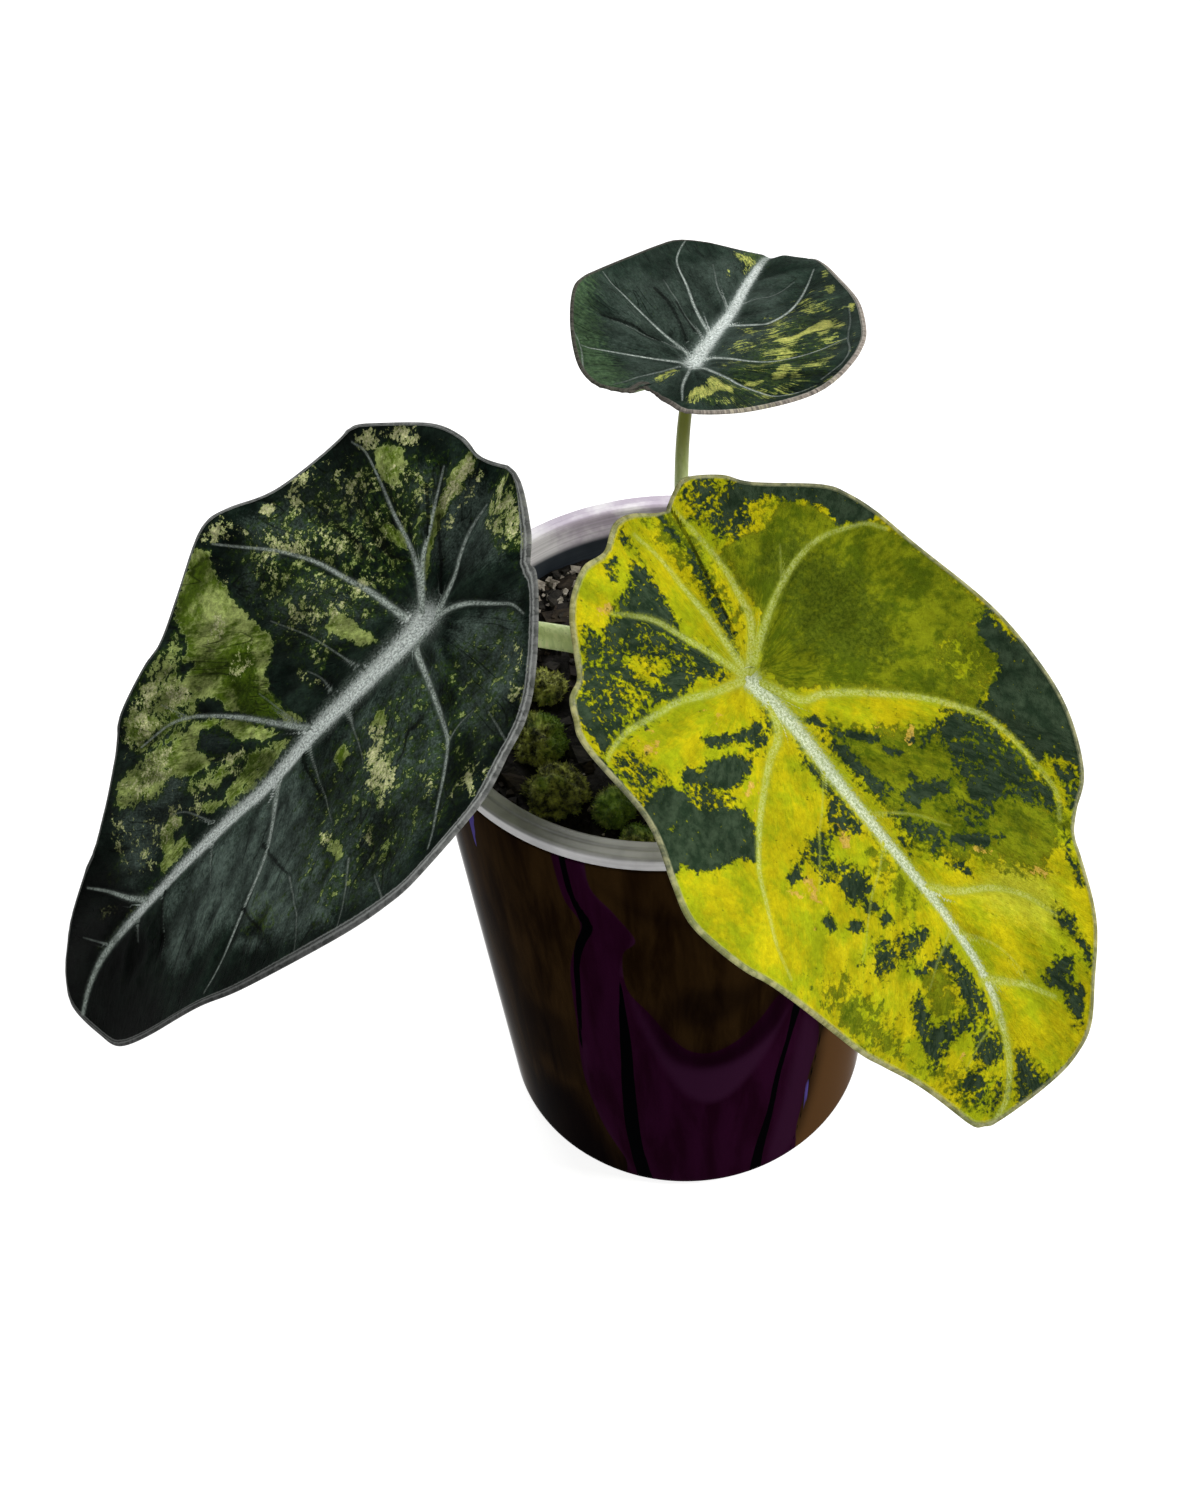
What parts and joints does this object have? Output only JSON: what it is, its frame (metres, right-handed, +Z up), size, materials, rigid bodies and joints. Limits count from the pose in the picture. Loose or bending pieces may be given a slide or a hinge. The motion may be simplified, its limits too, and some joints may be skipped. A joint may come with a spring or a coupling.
{
  "type": "potted alocasia plant",
  "caption": "Small variegated black velvet alocasia, velvety leaves with silver veins, in a mossy mix in a frosted cup inside a dark glossy cover pot",
  "frame": {"origin": "centre of the cover pot's flat underside, on the surface that the pot stands on", "axes": "+Z up along the pot's axis, +Y away from the picture's viewpoint, +X to the viewer's right"},
  "size_m": [0.205, 0.1727, 0.2031],
  "materials": {
    "outer_pot": "high gloss, near black with faint umber and plum marbling",
    "inner_cup": "frosted, slightly translucent, satin",
    "potting_mix": "dark chunky bark and fibre mix with pale specks, damp",
    "moss": "fine green cushion moss, matt",
    "crown": "fibrous, matt",
    "petiole": "smooth, slightly glossy, pale green with faint freckles",
    "blade_left": "velvety, with a soft sheen, blackish green with olive sectors and silver veins",
    "blade_right": "velvety, with a soft sheen, yellow and lime with dark green sectors and pale veins",
    "blade_back": "velvety, with a soft sheen, dark green with yellow streaks and silver veins"
  },
  "bodies": {
    "root": {"outer_pot": "outer_pot", "inner_cup": "inner_cup", "potting_mix": "potting_mix", "crown": "crown", "moss_1": "moss", "moss_2": "moss", "moss_3": "moss", "moss_4": "moss", "moss_5": "moss", "moss_6": "moss", "moss_7": "moss", "blade_left": "blade_left", "blade_right": "blade_right", "blade_back": "blade_back", "petiole_left": "petiole", "petiole_right": "petiole", "petiole_back": "petiole"}
  },
  "joints": []
}
